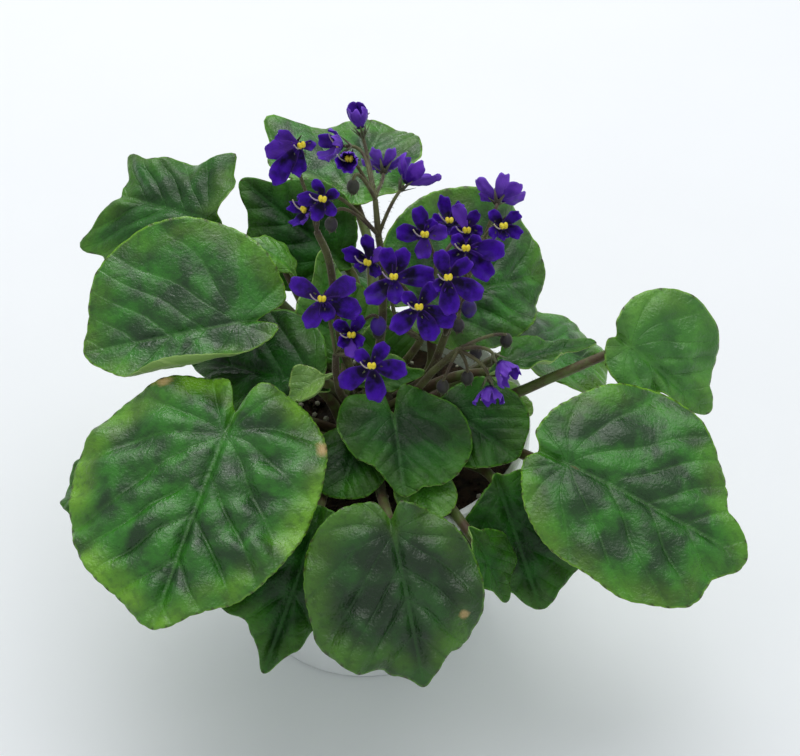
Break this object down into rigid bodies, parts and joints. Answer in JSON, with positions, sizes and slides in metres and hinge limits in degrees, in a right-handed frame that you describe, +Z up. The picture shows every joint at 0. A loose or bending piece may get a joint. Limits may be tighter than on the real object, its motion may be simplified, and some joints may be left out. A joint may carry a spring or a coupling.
{
  "type": "potted african violet",
  "caption": "African violet in a plain round tapered pot: a rosette of broad heart-shaped leaves on long petioles around branched stalks of small violet flowers.",
  "frame": {"origin": "centre of the pot's flat underside, on the surface it stands on", "axes": "+Z up out of the pot; -Y towards the plant's front, where its largest leaves reach out; +X to the plant's right as seen from the front"},
  "size_m": [0.2261, 0.2087, 0.1988],
  "materials": {
    "pot_plastic": "smooth white moulded plastic",
    "potting_mix": "dark crumbly potting mix",
    "crown_bark": "rough olive-brown stem",
    "leaf_green": "dark green, satin, quilted and finely hairy",
    "leaf_pale": "young yellow-green leaf",
    "stalk_brown": "hairy brown-olive stalk",
    "petal_violet": "deep violet, velvety"
  },
  "bodies": {
    "root": {"pot": "pot_plastic", "soil": "potting_mix", "crown": "crown_bark", "leaf_front_left": "leaf_green", "leaf_right": "leaf_green", "leaf_front": "leaf_green", "leaf_front_right": "leaf_green", "leaf_heart": "leaf_green", "leaf_front_low_left": "leaf_green", "leaf_right_inner": "leaf_green", "leaf_mid_left": "leaf_green", "leaf_left": "leaf_green", "leaf_back_left": "leaf_green", "leaf_back_left_inner": "leaf_green", "leaf_arched": "leaf_green", "leaf_back": "leaf_green", "leaf_back_right": "leaf_green", "leaf_edge_on": "leaf_green", "leaf_far_right": "leaf_green", "leaf_low_back_right": "leaf_green", "leaf_pale": "leaf_pale", "leaf_middle_back_left": "leaf_green", "leaf_middle_back_right": "leaf_green", "leaf_middle_front": "leaf_green", "leaf_young_curled": "leaf_pale", "leaf_under_heart": "leaf_green", "leaf_front_inner": "leaf_green", "leaf_front_low_right": "leaf_green", "leaf_low_left": "leaf_green", "leaf_low_back": "leaf_green", "leaf_low_back_left": "leaf_green", "bloom_a1": "petal_violet", "bloom_a2": "petal_violet", "bloom_a3": "petal_violet", "bloom_a4": "petal_violet", "bloom_a5": "petal_violet", "bloom_a6": "petal_violet", "bloom_a7": "petal_violet", "bloom_a8": "petal_violet", "bloom_b1": "petal_violet", "bloom_b2": "petal_violet", "bloom_b3": "petal_violet", "bloom_b4": "petal_violet", "bloom_b5": "petal_violet", "bloom_b6": "petal_violet", "bloom_b7": "petal_violet", "bloom_c1": "petal_violet", "bloom_c2": "petal_violet", "bloom_c4": "petal_violet", "bloom_c5": "petal_violet", "bloom_c6": "petal_violet", "bloom_c8": "petal_violet", "bloom_d1": "petal_violet", "bloom_d2": "petal_violet", "stalk_back": "stalk_brown", "stalk_left": "stalk_brown", "stalk_right": "stalk_brown", "stalk_middle": "stalk_brown", "stalk_front_left": "stalk_brown", "stalk_right_low": "stalk_brown"}
  },
  "joints": []
}
